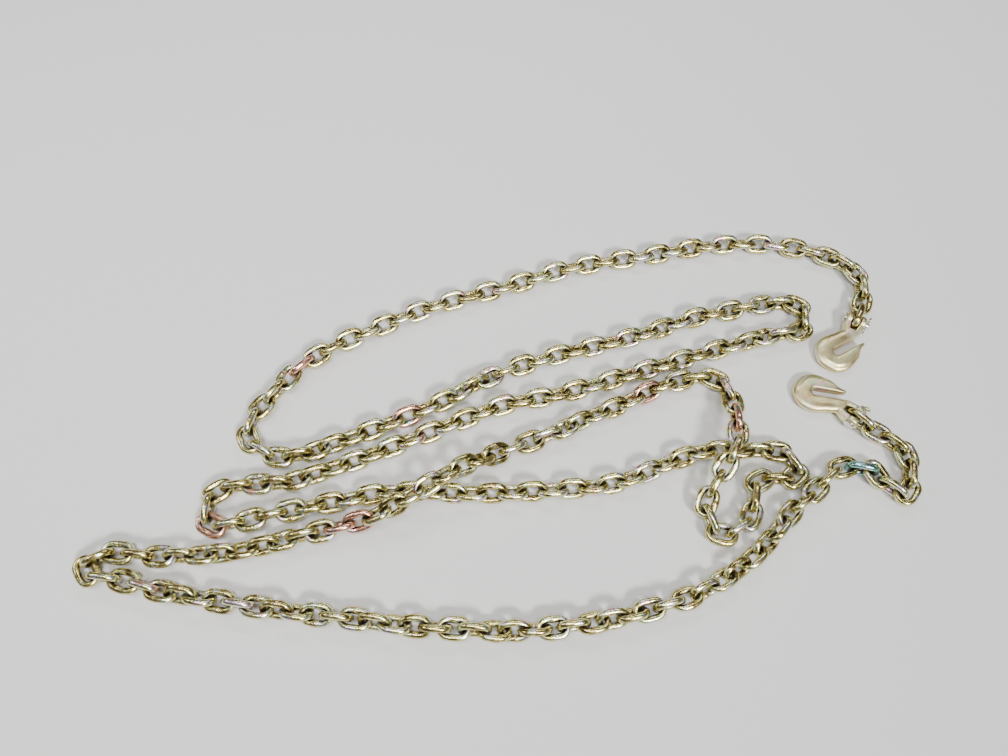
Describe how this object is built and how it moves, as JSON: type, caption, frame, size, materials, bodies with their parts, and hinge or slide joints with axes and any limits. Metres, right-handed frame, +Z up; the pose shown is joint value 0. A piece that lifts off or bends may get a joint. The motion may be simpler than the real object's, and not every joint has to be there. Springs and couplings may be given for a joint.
{
  "type": "heap of steel chain",
  "caption": "Welded steel transport chain lying loose in long loops on a level floor, strands crossing, with a clevis grab hook on a hinged pin at each end.",
  "frame": {"origin": "middle of the heap's bounding box, on the floor it lies on", "axes": "+Z up, +X along the long strands towards the hooks, +Y away from the viewer"},
  "size_m": [1.0678, 0.5896, 0.0575],
  "materials": {
    "yellow_zinc": "yellow zinc plating, glossy and iridescent",
    "hook_zinc": "pale yellow zinc over forged steel, satin",
    "pin_zinc": "zinc plated, satin"
  },
  "bodies": {
    "chain": {"chain_run_01": "yellow_zinc", "chain_run_02": "yellow_zinc", "chain_run_03": "yellow_zinc", "chain_run_04": "yellow_zinc", "chain_run_05": "yellow_zinc", "chain_run_06": "yellow_zinc", "chain_run_07": "yellow_zinc", "chain_run_08": "yellow_zinc", "chain_run_09": "yellow_zinc", "chain_run_10": "yellow_zinc", "chain_run_11": "yellow_zinc", "chain_run_12": "yellow_zinc", "chain_run_13": "yellow_zinc", "chain_run_14": "yellow_zinc", "chain_run_15": "yellow_zinc", "chain_run_16": "yellow_zinc", "chain_run_17": "yellow_zinc", "chain_run_18": "yellow_zinc", "chain_run_19": "yellow_zinc", "chain_run_20": "yellow_zinc", "chain_run_21": "yellow_zinc", "chain_run_22": "yellow_zinc", "chain_run_23": "yellow_zinc", "chain_run_24": "yellow_zinc", "chain_run_25": "yellow_zinc", "chain_run_26": "yellow_zinc", "chain_run_27": "yellow_zinc", "chain_run_28": "yellow_zinc", "chain_run_29": "yellow_zinc", "chain_run_30": "yellow_zinc", "chain_run_31": "yellow_zinc", "chain_run_32": "yellow_zinc", "chain_run_33": "yellow_zinc", "chain_run_34": "yellow_zinc", "chain_run_35": "yellow_zinc", "chain_run_36": "yellow_zinc", "chain_run_37": "yellow_zinc", "chain_run_38": "yellow_zinc", "chain_run_39": "yellow_zinc", "chain_run_40": "yellow_zinc", "chain_run_41": "yellow_zinc", "chain_run_42": "yellow_zinc", "chain_run_43": "yellow_zinc", "chain_run_44": "yellow_zinc", "chain_run_45": "yellow_zinc", "chain_run_46": "yellow_zinc", "chain_run_47": "yellow_zinc", "chain_run_48": "yellow_zinc", "chain_run_49": "yellow_zinc"},
    "hook_a_body": {"hook_a": "hook_zinc", "clevis_pin_a": "pin_zinc", "split_pin_a": "pin_zinc"},
    "hook_b_body": {"hook_b": "hook_zinc", "clevis_pin_b": "pin_zinc", "split_pin_b": "pin_zinc"}
  },
  "joints": [
    {"name": "hook_a_swing", "type": "hinge", "parent": "chain", "child": "hook_a_body", "pos_m": [0.48068, 0.15618, 0.0132], "axis": [-0.8984, 0.4392, 0], "range_deg": [0, 90]},
    {"name": "hook_b_swing", "type": "hinge", "parent": "chain", "child": "hook_b_body", "pos_m": [0.45726, 0.00931, 0.0132], "axis": [0.6863, 0.7273, 0], "range_deg": [0, 90]}
  ]
}
